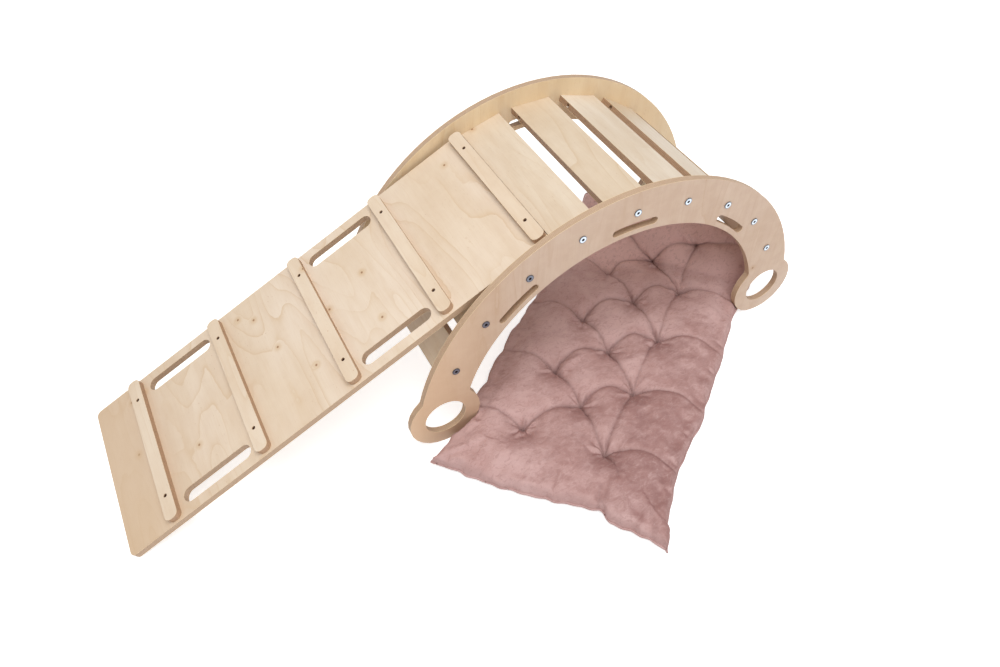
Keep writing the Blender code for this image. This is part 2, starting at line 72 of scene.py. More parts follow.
# The cushion's plan follows the solid's, but velvet bulges on against the near panel's feet.
# Distances run along the cushion from its nearest right tuft, then across it to the left.
CUSHION_OFFSET = Vector((-0.1674, -0.4477, 0.0))
CUSHION_TURN = math.radians(36.75)
CUSHION_CROWN = 0.075
CUSHION_SEAM_HEIGHT = 0.014
CUSHION_SIDE_ROUND = 0.078
CUSHION_BULGE = 0.0095
CUSHION_BULGE_REACH = 0.030
CUSHION_CELLS = (108, 54)

# Its long seams, as places along and across
CUSHION_LEFT = ((-0.165, 0.342), (-0.145, 0.333), (-0.115, 0.327), (-0.065, 0.324), (0.000, 0.326),
                (0.060, 0.324), (0.140, 0.331), (0.240, 0.335), (0.380, 0.333), (0.620, 0.330),
                (0.840, 0.320))
CUSHION_RIGHT = ((-0.155, -0.190), (-0.108, -0.180), (-0.094, -0.171), (-0.047, -0.163), (0.000, -0.156),
                 (0.056, -0.152), (0.126, -0.156), (0.205, -0.163), (0.238, -0.158), (0.301, -0.156),
                 (0.384, -0.155), (0.489, -0.147), (0.555, -0.143), (0.600, -0.147), (0.640, -0.153),
                 (0.700, -0.157), (0.840, -0.157))

# Its short seams, as shares of the width from the right and places along
CUSHION_FRONT = ((0.00, -0.147), (0.08, -0.133), (0.16, -0.134), (0.24, -0.132), (0.262, -0.126),
                 (0.284, -0.116), (0.335, -0.119), (0.395, -0.127), (0.54, -0.142), (0.69, -0.154),
                 (0.78, -0.158), (0.88, -0.158), (1.00, -0.161))
CUSHION_REAR = ((0.00, 0.785), (0.30, 0.800), (0.55, 0.830), (0.85, 0.806), (1.00, 0.770))

# Small waves of the seams: height, rate and start of each
FRONT_WAVES = ((0.0016, 51.0, 0.0), (0.0012, 87.0, 1.0))
SIDE_WAVES = ((0.0010, 61.0, 0.0), (0.0005, 131.0, 1.0))

# Tufts, in columns from the right: place across, first place along, count
TUFT_PITCH = 0.182
TUFT_COLUMNS = ((0.0, 0.0, 5), (0.0963, 0.0993, 4), (0.1877, -0.0151, 5))
TUFT_REACH = 0.09
TUFT_DISH_DEPTH = 0.015
TUFT_DISH_SPREAD = 0.040
TUFT_CUSP_DEPTH = 0.022
TUFT_CUSP_SPREAD = 0.012
TUFT_PIN_RADIUS = 0.007
# The width of the painted shade round each tuft
TUFT_SHADE_WIDTH = 0.0065

# Pleats that fan out round each tuft
PLEAT_DEPTH = 0.0015
PLEAT_PLACE = 0.022
PLEAT_SPREAD = 0.016

# Creases, and where some of them end. The ends at the two sides are seen from their tuft;
# the corner's and the dent's are places along and across.
CREASE_DEPTH = 0.0135
CREASE_WIDTH = 0.0065
# The width of the painted shade along each crease
CREASE_SHADE_WIDTH = 0.0024
CREASE_STEP = 0.0015
CREASE_RIGHT_END = (0.020, -0.160)
CREASE_LEFT_END = (0.006, 0.140)
CREASE_CORNER_END = (-0.055, -0.045)
DENT_START = (-0.082, -0.020)
DENT_END = (-0.120, -0.032)

# How far each kind of crease bows along and across, its share of the depth at its start and end,
# and how much of that share it loses halfway
CREASE_KINDS = {"right side": ((0.024, 0.0), 1.0, 0.45),
                "right to middle": ((0.0, -0.003), 1.0, 1.0),
                "middle to right": ((0.024, 0.013), 1.0, 1.0),
                "first right to right": ((0.0, 0.006), 0.9, 0.8),
                "right to right": ((0.0, 0.006), 0.6, 0.8),
                "left side": ((0.012, 0.0), 1.0, 0.35),
                "first left to middle": ((0.010, 0.010), 1.0, 1.0),
                "left to middle": ((0.018, 0.018), 1.0, 1.0),
                "middle to left": ((0.002, -0.004), 1.0, 1.0),
                "corner": ((-0.004, -0.012), 1.0, 0.15),
                "dent": ((0.0, 0.003), 0.35, 0.9)}
CREASE_LOSS = 0.45

# Unevenness of the filling: rate, slice of the noise, height
SOFT_LUMPS = ((19.0, 3.7, 0.0034), (52.0, 8.1, 0.0011))
SEAM_PUCKERS = ((34.0, 1.3, 0.014),)

# How the rear end curls up, and how far the simulation may swell the cushion
CURL_HEADING = math.radians(36.7)
CURL_START = 0.1569
CURL_RADIUS = 0.109
CURL_ANGLE = math.radians(60.0)
PUFF_LIMIT = 0.013
PUFF_AT_SEAM = 0.30
PUFF_FRAMES = 20

# The double seam's section: outward and up, in units of its lip
SEAM_LIP = 0.0026
SEAM_FLATNESS = 0.8
SEAM_SECTION = ((-1.4, 0.9), (0.3, 1.05), (1.15, 0.60), (0.75, 0.0), (1.15, -0.60), (0.3, -1.05),
                (-1.4, -0.9))

# The near panel's feet, which the cushion squashes against, from the crown slat's middle
PANEL_PLACE = -0.2175
PANEL_HALF = 0.0085
FOOT_SPREAD = 0.4394
FOOT_HEIGHT = 0.0828
FOOT_RADIUS = 0.0850

# Velvet, as it should look on screen, with the tones of its painted light and shade
# A dark tone, used both as painted shade and for dark patches of the pile, and a lit tone of painted light
VELVET_DARK_AND_SHADED = (144, 105, 101)
VELVET_LIT = (203, 169, 165)
VELVET_WARM = (167, 126, 120)
VELVET_BRUSHED = (206, 176, 172)
# Painted light on the curled rear
VELVET_REAR_LIT = (226, 188, 182)
# Painted shade in the folds
VELVET_FOLD_SHADE = (74, 45, 42)
VELVET_SHEEN = (220, 186, 180)

# The direction whose facing sides are painted lighter, and how the painted light and shade round a tuft
# are turned and fade
LIGHT_FACING = (-0.42, -0.62, 0.10)
TUFT_LIGHT_TURN = math.radians(18.0)
TUFT_LIGHT_REACH = 0.060
TUFT_SHADE_REACH = 0.020
TUFT_LIGHT_CLEAR = 0.008

# Broad painted light and shade on the velvet: painted light to the left and to the rear, painted shade to
# the right and across the bend on the right.
# Each has its gain first; then a place, or a place and a width, or where it begins and ends.
# The bend's shade also has the places across where it sets in and where it is full.
LEFT_LIGHT = (2.3, 0.08)
MIDDLE_LIGHT = (0.45, 0.12, 0.42)
REAR_LIGHT = (1.6, 0.47, 0.63)
BEND_SHADE = (1.4, 0.625, 0.035)
BEND_SHADE_SIDES = (0.16, 0.04)

# Wood edges
EASED_EDGE = 0.0011
PANEL_EDGE = EASED_EDGE * 1.3
RUNG_EDGE = EASED_EDGE * 1.6
BOLT_EDGE = 0.0005
PLY_COUNT = 11

# Birch, as it should look on screen
BIRCH_SHEEN = (238, 222, 198)
BIRCH_FLECK = (172, 130, 90)
BIRCH_SAP = (176, 128, 84)
KNOT_BROWN = (140, 92, 54)
PLY_STREAK = (190, 158, 128)
PLY_GLUE = (118, 84, 62)
PLY_VOID = (82, 54, 38)
PLY_FACE = (226, 202, 164)

# Knots: cells a metre along and across the grain, and where core and halo fade, in cells
KNOT_CELLS = (9.0, 10.0, 0.0)
KNOT_CORE = (0.036, 0.012)
KNOT_HALO = (0.15, 0.02)

# Cuts of veneer: two tones, how the rings spread along and across, their count and strength,
# the share of cells with a knot, how strongly one side is tinted and its tint, and the tones of the plies
PLAIN_CUT = {"pale": (231, 213, 191), "warm": (224, 202, 174), "swirl": (1.5, 6.5), "rings": 9.0,
             "ring_show": 0.40, "knots": 0.0, "end_tint": 0.0, "end_tint_tone": (204, 172, 136),
             "edge_light": (206, 180, 152), "edge_dark": (176, 142, 114)}
# The near panel's tones are darker than the other wood's: painted shade on its outer face
NEAR_SHADED_CUT = {**PLAIN_CUT, "pale": (209, 183, 162), "warm": (202, 173, 149), "swirl": (1.2, 10.0),
            "ring_show": 0.45, "knots": 0.04, "end_tint": 0.7, "end_tint_tone": (226, 188, 150)}
FAR_CUT = {**PLAIN_CUT, "pale": (236, 214, 179), "warm": (230, 204, 165), "swirl": (1.4, 11.0),
           "ring_show": 0.50, "knots": 0.04}
SLAT_CUT = {**PLAIN_CUT, "pale": (222, 205, 183), "warm": (214, 193, 166), "swirl": (1.6, 9.0),
            "ring_show": 0.55, "knots": 0.06, "edge_light": (190, 156, 124), "edge_dark": (146, 110, 84)}
PALE_SLAT_CUT = {**SLAT_CUT, "pale": (234, 222, 206)}
BOARD_CUT = {**PLAIN_CUT, "pale": (230, 212, 192), "warm": (223, 202, 177), "swirl": (1.6, 5.8),
             "rings": 15.0, "ring_show": 0.75, "knots": 0.42, "end_tint": 0.65}
RUNG_CUT = {**PLAIN_CUT, "pale": (230, 212, 190), "warm": (222, 200, 174), "swirl": (1.8, 14.0),
            "rings": 7.0, "ring_show": 0.45, "knots": 0.05, "edge_light": (196, 160, 128),
            "edge_dark": (162, 124, 96)}
PALE_SLAT = 6

# Bolts: tones, and from the middle where the painted shade in the socket ends and the painted shade round
# the rim starts
ZINC_BRIGHT = ((232, 240, 246), (190, 206, 224))
# Darker tones for three bolts: painted reflection of darker surroundings
ZINC_DARK_REFLECTING = ((150, 158, 172), (104, 110, 122))
DARK_REFLECTING_BOLTS = ("bolt_near_1", "bolt_near_2", "bolt_near_3")
BOLT_RIM = (0.0066, 0.0076)
BOLT_SOCKET = (0.0037, 0.0029)
RIM_SHADE = (82, 84, 94)
SOCKET_SHADE = (44, 36, 36)

# Stage: a floor that shows white but keeps the shadow, a plain world, and two round lamps,
# each with its place from the model's middle, its width and its power
FLOOR_REACH = 14.0
FLOOR_DROP = 0.0005
FLOOR_TONE = (0.86, 0.86, 0.87, 1.0)
FLOOR_GLOW = 0.62
WORLD_LIGHT = 0.58
WHITE = (1.0, 1.0, 1.0, 1.0)
LAMP_AIM = 0.2
LAMPS = (("key", (-0.55, -1.0, 3.8), 2.8, 102.0),
         ("fill", (1.0, -2.8, 1.1), 1.6, 8.0))


def srgb(red, green, blue):
    """A colour as it should look on screen, 0 to 255, as scene-linear values."""
    linear = []
    for value in (red, green, blue):
        share = value / 255
        linear.append(share / 12.92 if share <= 0.04045 else ((share + 0.055) / 1.055) ** 2.4)
    return (*linear, 1.0)


class Graph:
    """Adds shader nodes to a new material and links them."""

    def __init__(self, name):
        self.material = bpy.data.materials.new(name)
        self.material.use_nodes = True
        self.tree = self.material.node_tree
        self.shader = self.tree.nodes["Principled BSDF"]

    def node(self, kind, **settings):
        """A new node with these settings."""
        added = self.tree.nodes.new(kind)
        for key, value in settings.items():
            setattr(added, key, value)
        return added

    def feed(self, socket, value):
        """Links another node's output to a socket, or sets the socket to a plain value."""
        if isinstance(value, bpy.types.NodeSocket):
            self.tree.links.new(value, socket)
        elif value is not None:
            socket.default_value = value

    def math(self, operation, first, second=None, third=None):
        """The result of an operation on outputs or numbers."""
        added = self.node("ShaderNodeMath", operation=operation)
        for socket, value in zip(added.inputs, (first, second, third)):
            self.feed(socket, value)
        return added.outputs[0]

    def vector(self, operation, first, second=None):
        """The result of an operation on vectors: a number for a dot product or a length."""
        added = self.node("ShaderNodeVectorMath", operation=operation)
        self.feed(added.inputs[0], first)
        self.feed(added.inputs[1], second)
        return added.outputs["Value" if operation in ("DOT_PRODUCT", "LENGTH") else "Vector"]

    def combine(self, x, y, z):
        """A vector made of three outputs or numbers."""
        added = self.node("ShaderNodeCombineXYZ")
        for socket, value in zip(added.inputs, (x, y, z)):
            self.feed(socket, value)
        return added.outputs[0]

    def stretch(self, values, factors, seed):
        """Coordinates for a texture that is finer along some directions than others."""
        scaled = [self.math("MULTIPLY_ADD", value, factor, seed * (i + 1.7))
                  for i, (value, factor) in enumerate(zip(values, factors))]
        return self.combine(*scaled)

    def noise(self, vector, detail=2.0, roughness=0.5, distortion=0.0, scale=1.0):
        """A noise from 0 to 1."""
        added = self.node("ShaderNodeTexNoise")
        self.feed(added.inputs["Vector"], vector)
        added.inputs["Scale"].default_value = scale
        added.inputs["Detail"].default_value = detail
        added.inputs["Roughness"].default_value = roughness
        added.inputs["Distortion"].default_value = distortion
        return added.outputs[0]

    def step(self, value, low, high):
        """A smooth rise from 0 at low to 1 at high."""
        added = self.node("ShaderNodeMapRange", interpolation_type="SMOOTHSTEP")
        self.feed(added.inputs["Value"], value)
        added.inputs["From Min"].default_value = low
        added.inputs["From Max"].default_value = high
        return added.outputs[0]

    def mix(self, share, first, second):
        """The first colour where the share is 0, the second where it is 1."""
        added = self.node("ShaderNodeMix", data_type="RGBA")
        # The colour sockets have the same names as those for numbers, so they are taken by their place
        self.feed(added.inputs[0], share)
        self.feed(added.inputs[6], first)
        self.feed(added.inputs[7], second)
        return added.outputs[2]

    def bump(self, height, distance, strength=1.0):
        """A surface direction bent by a height."""
        added = self.node("ShaderNodeBump")
        self.feed(added.inputs["Height"], height)
        added.inputs["Distance"].default_value = distance
        added.inputs["Strength"].default_value = strength
        return added.outputs[0]


class Plate:
    """A flat wooden node's own axes: its grain, across it, and through its thickness."""

    def __init__(self, node, grain_hint):
        mesh = NODES[node].data
        areas = {}
        for face in mesh.polygons:
            key = tuple(round(abs(value), 2) for value in face.normal)
            total, normal = areas.get(key, (0.0, face.normal.copy()))
            areas[key] = (total + face.area, normal)
        self.normal = max(areas.values(), key=lambda item: item[0])[1].normalized()
        self.across = self.normal.cross(Vector(grain_hint)).normalized()
        self.grain = self.across.cross(self.normal).normalized()
        middle = Vector()
        self.sizes = []
        for axis in (self.grain, self.across, self.normal):
            places = [axis.dot(vert.co) for vert in mesh.vertices]
            middle += axis * (min(places) + max(places)) / 2
            self.sizes.append(max(places) - min(places))
        self.middle = middle


def knots(g, spots, seed, share):
    """Knots in some cells of a coarse grid: how far each point is in a core, and in the grain round it."""
    cells = g.node("ShaderNodeTexVoronoi", feature="F1", voronoi_dimensions="2D")
    cells.inputs["Scale"].default_value = 1.0
    g.feed(cells.inputs["Vector"], g.stretch(spots, KNOT_CELLS, seed))
    lots = g.node("ShaderNodeSeparateColor")
    g.feed(lots.inputs["Color"], cells.outputs["Color"])
    chosen = g.math("GREATER_THAN", lots.outputs["Red"], 1.0 - share)
    core = g.math("MULTIPLY", chosen, g.step(cells.outputs["Distance"], *KNOT_CORE))
    halo = g.math("MULTIPLY", chosen, g.step(cells.outputs["Distance"], *KNOT_HALO))
    return core, halo


def veneer(g, spots, seed, cut):
    """A rotary-cut face: its colour, its fibre and its rings."""

    def grain(along, across, shift, *settings):
        """A noise with so many waves a metre along the grain and across it."""
        return g.noise(g.stretch(spots, (along, across, 0.0), seed + shift), *settings)

    knot_core, knot_halo = knots(g, spots, seed, cut["knots"])
    field = grain(*cut["swirl"], 0.0, 2.0, 0.40, 0.2)
    wobble = grain(60.0, 34.0, 4.2, 1.0, 0.5)
    field = g.math("ADD", field, g.math("MULTIPLY_ADD", wobble, 0.010, -0.005))
    field = g.math("MULTIPLY_ADD", knot_halo, 0.05, field)
    turns = g.math("FRACT", g.math("MULTIPLY", field, cut["rings"]))
    ring = g.math("POWER", turns, 13.0)
    ring = g.math("MULTIPLY", ring, g.step(turns, 1.0, 0.97))
    shade_band = g.math("POWER", turns, 1.6)
    ring_place = grain(4.0, 6.0, 3.1, 1.0)
    ring_strength = g.math("MULTIPLY", g.step(ring_place, 0.25, 0.75), cut["ring_show"])
    band_strength = g.math("MULTIPLY", shade_band, g.math("MULTIPLY", ring_strength, 0.45))
    fibre = grain(20.0, 420.0, 0.0, 3.0, 0.6)
    fleck = g.step(grain(80.0, 640.0, 5.3, 1.0, 0.5), 0.69, 0.80)
    tint = g.step(grain(3.0, 5.0, 9.2, 2.0, 0.5), 0.30, 0.70)
    veil = g.step(grain(5.0, 26.0, 1.9, 3.0, 0.6), 0.35, 0.75)
    moire = g.step(grain(42.0, 30.0, 6.4, 2.0, 0.6), 0.38, 0.66)
    sap = g.step(grain(150.0, 230.0, 8.8, 1.0, 0.5), 0.735, 0.80)
    sap = g.math("MULTIPLY", sap, g.step(ring_place, 0.45, 0.70))

    warm = cut["warm"]
    darker = tuple(value * share for value, share in zip(warm, (0.945, 0.915, 0.880)))
    golden = tuple(value * share for value, share in zip(warm, (0.930, 0.870, 0.760)))
    face = g.mix(tint, srgb(*cut["pale"]), srgb(*warm))
    face = g.mix(g.math("MULTIPLY", veil, 0.45), face, srgb(*darker))
    face = g.mix(g.math("MULTIPLY", moire, 0.10), face, srgb(*BIRCH_SHEEN))
    face = g.mix(band_strength, face, srgb(*darker))
    face = g.mix(g.math("MULTIPLY", ring, ring_strength), face, srgb(*golden))
    face = g.mix(g.math("MULTIPLY", g.step(fibre, 0.45, 0.75), 0.16), face, srgb(*golden))
    face = g.mix(g.math("MULTIPLY", fleck, 0.30), face, srgb(*BIRCH_FLECK))
    face = g.mix(g.math("MULTIPLY", sap, 0.55), face, srgb(*BIRCH_SAP))
    face = g.mix(g.math("MULTIPLY", knot_halo, 0.55), face, srgb(*golden))
    face = g.mix(g.math("MULTIPLY", knot_core, 0.85), face, srgb(*KNOT_BROWN))
    # Tinted towards one side of the piece
    low_end = g.math("MULTIPLY", g.step(spots[1], 0.24, 0.54), cut["end_tint"])
    face = g.mix(low_end, face, srgb(*cut["end_tint_tone"]))
    return face, fibre, ring


def plies(g, spots, thickness, cut):
    """Plywood seen on its edge: the colour of its layers, and where their glue lines are."""
    along, across, depth = spots
    level = g.math("MULTIPLY_ADD", depth, PLY_COUNT / thickness, PLY_COUNT / 2)
    layer = g.math("FLOOR", level)
    within = g.math("FRACT", level)
    odd = g.math("MODULO", g.math("ADD", layer, 40.0), 2.0)
    glue = g.math("ADD", g.step(within, 0.16, 0.0), g.step(within, 0.84, 1.0))
    rows = g.combine(g.math("MULTIPLY", along, 45.0), g.math("MULTIPLY", across, 45.0),
                     g.math("MULTIPLY", layer, 7.31))
    streak = g.noise(rows, 2.0, 0.6)
    edge = g.mix(odd, srgb(*cut["edge_light"]), srgb(*cut["edge_dark"]))
    edge = g.mix(g.math("MULTIPLY", g.step(streak, 0.35, 0.75), 0.35), edge, srgb(*PLY_STREAK))
    edge = g.mix(g.math("MULTIPLY", glue, 0.26), edge, srgb(*PLY_GLUE))
    void = g.math("MULTIPLY", g.step(streak, 0.735, 0.765), odd)
    edge = g.mix(g.math("MULTIPLY", void, 0.8), edge, srgb(*PLY_VOID))
    outer = g.step(g.math("ABSOLUTE", depth), thickness * 0.415, thickness * 0.440)
    edge = g.mix(g.math("MULTIPLY", outer, 0.80), edge, srgb(*PLY_FACE))
    return edge, glue


def birch(name, plate, seed, cut):
    """Lacquered birch plywood: a rotary-cut face veneer, and its plies on the edges."""
    g = Graph(name)
    place = g.node("ShaderNodeTexCoord")
    offset = g.vector("SUBTRACT", place.outputs["Object"], tuple(plate.middle))
    axes = (plate.grain, plate.across, plate.normal)
    spots = [g.vector("DOT_PRODUCT", offset, tuple(axis)) for axis in axes]
    facing = g.math("ABSOLUTE", g.vector("DOT_PRODUCT", place.outputs["Normal"], tuple(plate.normal)))
    on_face = g.step(facing, 0.62, 0.86)
    on_edge = g.math("SUBTRACT", 1.0, on_face)
    face, fibre, ring = veneer(g, spots, seed, cut)
    edge, glue = plies(g, spots, plate.sizes[2], cut)

    g.feed(g.shader.inputs["Base Color"], g.mix(on_face, edge, face))
    rough = g.math("MULTIPLY_ADD", fibre, 0.12, 0.42)
    rough = g.math("MULTIPLY_ADD", on_edge, 0.12, rough)
    g.feed(g.shader.inputs["Roughness"], rough)
    relief = g.math("ADD", g.math("MULTIPLY", fibre, 0.4), g.math("MULTIPLY", ring, -0.2))
    relief = g.math("SUBTRACT", relief, g.math("MULTIPLY", on_edge, glue))
    g.feed(g.shader.inputs["Normal"], g.bump(relief, 0.00012, 0.8))
    g.shader.inputs["Coat Weight"].default_value = 0.10
    g.shader.inputs["Coat Roughness"].default_value = 0.28
    return g.material


def zinc(name, node, light, dark):
    """Zinc plating with faint turning marks, painted shade round the rim and painted shade in the socket.
    """
    low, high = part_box(node)
    middle = tuple((a + b) / 2 for a, b in zip(low, high))
    g = Graph(name)
    place = g.node("ShaderNodeTexCoord").outputs["Object"]
    offset = g.vector("SUBTRACT", place, middle)
    radius = g.vector("LENGTH", g.vector("MULTIPLY", offset, (1.0, 0.0, 1.0)))
    turned = g.noise(g.combine(g.math("MULTIPLY", radius, 5200.0), 0.0, 0.0), 1.0)
    patina = g.noise(place, 2.0, 0.5, 0.0, 260.0)
    tone = g.mix(patina, srgb(*dark), srgb(*light))
    # Painted shade round the head's rim, then in its socket
    tone = g.mix(g.math("MULTIPLY", g.step(radius, *BOLT_RIM), 0.85), tone, srgb(*RIM_SHADE))
    tone = g.mix(g.step(radius, *BOLT_SOCKET), tone, srgb(*SOCKET_SHADE))
    g.feed(g.shader.inputs["Base Color"], tone)
    g.feed(g.shader.inputs["Roughness"], g.math("MULTIPLY_ADD", turned, 0.16, 0.24))
    g.feed(g.shader.inputs["Normal"], g.bump(turned, 0.00003, 0.5))
    g.shader.inputs["Metallic"].default_value = 0.80
    return g.material


def dark_screw(name):
    """Dark brown steel screws, sunk in their holes."""
    g = Graph(name)
    place = g.node("ShaderNodeTexCoord").outputs["Object"]
    patina = g.noise(place, 3.0, 0.6, 0.0, 700.0)
    g.feed(g.shader.inputs["Base Color"], g.mix(patina, srgb(54, 34, 26), srgb(88, 56, 40)))
    g.feed(g.shader.inputs["Roughness"], g.math("MULTIPLY_ADD", patina, 0.3, 0.35))
    g.shader.inputs["Metallic"].default_value = 0.5
    return g.material


def velvet(name):
    """Dusty mauve velvet, with painted light where it faces the front left, round its tufts and on its
    curled rear, and painted shade in its folds.
    """
    g = Graph(name)
    coordinates = g.node("ShaderNodeTexCoord")
    place = coordinates.outputs["Object"]
    # Painted shade for the folds, stored on the mesh
    fold_shade = g.node("ShaderNodeAttribute", attribute_name="fold_shade").outputs["Fac"]
    # Painted light and shade for the nap, stored on the mesh
    painted_light = g.node("ShaderNodeAttribute", attribute_name="nap").outputs["Fac"]
    hand = g.noise(place, 3.0, 0.58, 0.5, 13.0)
    brush = g.noise(g.vector("MULTIPLY", place, (38.0, 62.0, 44.0)), 4.0, 0.62, 0.7)
    crushed = g.noise(g.vector("MULTIPLY", place, (70.0, 120.0, 80.0)), 4.0, 0.66, 1.4)
    nap = g.noise(place, 2.0, 0.6, 0.0, 950.0)
    # Painted light and shade by facing: sides that face the front left are painted lighter, sides that
    # face away darker
    lit_share = g.vector("DOT_PRODUCT", coordinates.outputs["Normal"], LIGHT_FACING)
    lit_share = g.math("MULTIPLY_ADD", painted_light, 0.58, lit_share)
    lit_share = g.math("ADD", lit_share, g.math("MULTIPLY_ADD", brush, 0.70, -0.35))
    lit_share = g.step(lit_share, -0.46, 0.52)
    tone = g.mix(lit_share, srgb(*VELVET_DARK_AND_SHADED), srgb(*VELVET_LIT))
    tone = g.mix(g.math("MULTIPLY", g.step(hand, 0.34, 0.68), 0.42), tone, srgb(*VELVET_WARM))
    tone = g.mix(g.math("MULTIPLY", g.step(brush, 0.50, 0.72), 0.20), tone, srgb(*VELVET_BRUSHED))
    # Painted light on the curled rear
    tone = g.mix(g.math("MULTIPLY", g.step(painted_light, 1.1, 2.1), 0.90), tone, srgb(*VELVET_REAR_LIT))
    tone = g.mix(g.math("MULTIPLY", g.step(crushed, 0.50, 0.66), 0.30), tone, srgb(*VELVET_DARK_AND_SHADED))
    tone = g.mix(g.math("MULTIPLY", g.step(crushed, 0.46, 0.32), 0.26), tone, srgb(*VELVET_BRUSHED))
    tone = g.mix(g.math("MULTIPLY", g.step(nap, 0.35, 0.70), 0.20), tone, srgb(*VELVET_DARK_AND_SHADED))
    # Painted shade in the folds
    tone = g.mix(g.math("MULTIPLY", fold_shade, 0.80), tone, srgb(*VELVET_FOLD_SHADE))
    g.feed(g.shader.inputs["Base Color"], tone)
    g.shader.inputs["Roughness"].default_value = 0.88
    g.shader.inputs["Specular IOR Level"].default_value = 0.20
    g.shader.inputs["Sheen Weight"].default_value = 0.30
    g.shader.inputs["Sheen Roughness"].default_value = 0.50
    g.shader.inputs["Sheen Tint"].default_value = srgb(*VELVET_SHEEN)
    relief = g.math("ADD", g.math("MULTIPLY", brush, 0.6), g.math("MULTIPLY", nap, 0.4))
    g.feed(g.shader.inputs["Normal"], g.bump(relief, 0.0008, 0.5))
    return g.material


def smoothing_group():
    """Geometry nodes that shade a mesh smooth, but for its sharp edges."""
    tree = bpy.data.node_groups.new("shade_by_angle", "GeometryNodeTree")
    tree.interface.new_socket("Geometry", in_out="INPUT", socket_type="NodeSocketGeometry")
    tree.interface.new_socket("Geometry", in_out="OUTPUT", socket_type="NodeSocketGeometry")
    start = tree.nodes.new("NodeGroupInput")
    faces = tree.nodes.new("GeometryNodeSetShadeSmooth")
    edges = tree.nodes.new("GeometryNodeSetShadeSmooth")
    edges.domain = "EDGE"
    edges.inputs["Shade Smooth"].default_value = False
    angle = tree.nodes.new("GeometryNodeInputMeshEdgeAngle")
    sharp = tree.nodes.new("FunctionNodeCompare")
    sharp.operation = "GREATER_THAN"
    sharp.inputs[1].default_value = math.radians(38)
    end = tree.nodes.new("NodeGroupOutput")
    tree.links.new(start.outputs[0], faces.inputs["Geometry"])
    tree.links.new(faces.outputs[0], edges.inputs["Geometry"])
    tree.links.new(angle.outputs["Unsigned Angle"], sharp.inputs[0])
    tree.links.new(sharp.outputs[0], edges.inputs["Selection"])
    tree.links.new(edges.outputs[0], end.inputs[0])
    return tree


def ease_edges(node, smoothing, width, segments=2):
    """Sanded edges on a CAD node: welded, flat faces joined, edges rounded, shaded by angle."""
    thing = NODES[node]
    weld = thing.modifiers.new("weld", "WELD")
    weld.merge_threshold = 0.00002
    join = thing.modifiers.new("join_flats", "DECIMATE")
    join.decimate_type = "DISSOLVE"
    join.angle_limit = math.radians(0.5)
    if width:
        bevel = thing.modifiers.new("eased", "BEVEL")
        bevel.width = width
        bevel.segments = segments
        bevel.limit_method = "ANGLE"
        bevel.angle_limit = math.radians(40)
        bevel.use_clamp_overlap = True
    shade = thing.modifiers.new("shade", "NODES")
    shade.node_group = smoothing
    weights = thing.modifiers.new("flat_faces", "WEIGHTED_NORMAL")
    weights.keep_sharp = True


def paint(node, material):
    """Gives a CAD node one material, in place of what it had."""
    thing = NODES[node]
    thing.data.materials.clear()
    thing.data.materials.append(material)


def dress_plank(node, grain_hint, seed, cut, smoothing, rounding, segments=2):
    """Paints a wooden node with its own cut of birch, and eases its edges."""
    paint(node, birch("birch_" + node.removeprefix("side_"), Plate(node, grain_hint), seed, cut))
    ease_edges(node, smoothing, rounding, segments)


def dress_wood(smoothing):
    """Birch on every wooden node: upright grain in the panels, crosswise in all else."""
    up = (0.0, 0.0, 1.0)
    crosswise = (0.0, 1.0, 0.0)
    dress_plank("side_panel_near", up, 2.3, NEAR_SHADED_CUT, smoothing, PANEL_EDGE, 3)
    dress_plank("side_panel_far", up, 8.9, FAR_CUT, smoothing, PANEL_EDGE, 3)
    for index in range(1, 10):
        cut = PALE_SLAT_CUT if index == PALE_SLAT else SLAT_CUT
        dress_plank(f"slat_{index}", crosswise, 3.1 * index, cut, smoothing, EASED_EDGE)
    dress_plank("ramp_board", crosswise, 4.4, BOARD_CUT, smoothing, PANEL_EDGE, 3)
    for index in range(1, 6):
        dress_plank(f"ramp_rung_{index}", crosswise, 1.7 * index + 20, RUNG_CUT, smoothing, RUNG_EDGE, 3)
    dress_plank("hook_batten", crosswise, 31.0, PLAIN_CUT, smoothing, EASED_EDGE)


def dress_metal(smoothing):
    """Zinc bolts, three of them painted darker for their darker reflections, and dark screws."""
    dark_brown = dark_screw("browned_steel")
    for node in sorted(NODES):
        if node.startswith("bolt_"):
            # Three bolts get darker tones: painted reflection of darker surroundings
            tones = ZINC_DARK_REFLECTING if node in DARK_REFLECTING_BOLTS else ZINC_BRIGHT
            paint(node, zinc("zinc_" + node, node, *tones))
            ease_edges(node, smoothing, BOLT_EDGE)
        elif "screw" in node:
            paint(node, dark_brown)
            ease_edges(node, smoothing, 0.0)


def follow(points, value):
    """A smooth line through a few points."""
    if value <= points[0][0]:
        return points[0][1]
    for (x0, y0), (x1, y1) in zip(points, points[1:]):
        if value <= x1:
            t = (value - x0) / (x1 - x0)
            blend = 0.5 * t + 0.5 * t * t * (3 - 2 * t)
            return y0 + (y1 - y0) * blend
    return points[-1][1]


def rise_between(value, low, high):
    """A straight rise from 0 at low to 1 at high."""
    return min(max((value - low) / (high - low), 0.0), 1.0)


def waves(table, value):
    """The sum of a few small waves, each with its height, rate and start."""
    return sum(height * math.sin(rate * value + start) for height, rate, start in table)


def lumps(table, x, y):
    """The sum of a few noises, each with its rate, its slice and its height."""
    return sum(noise.noise(Vector((x * rate, y * rate, level))) * height for rate, level, height in table)


def tuft_columns():
    """Tufts in the cushion's own plane, column by column from the right: along it, and across it."""
    return [[(first + index * TUFT_PITCH, across) for index in range(count)]
            for across, first, count in TUFT_COLUMNS]


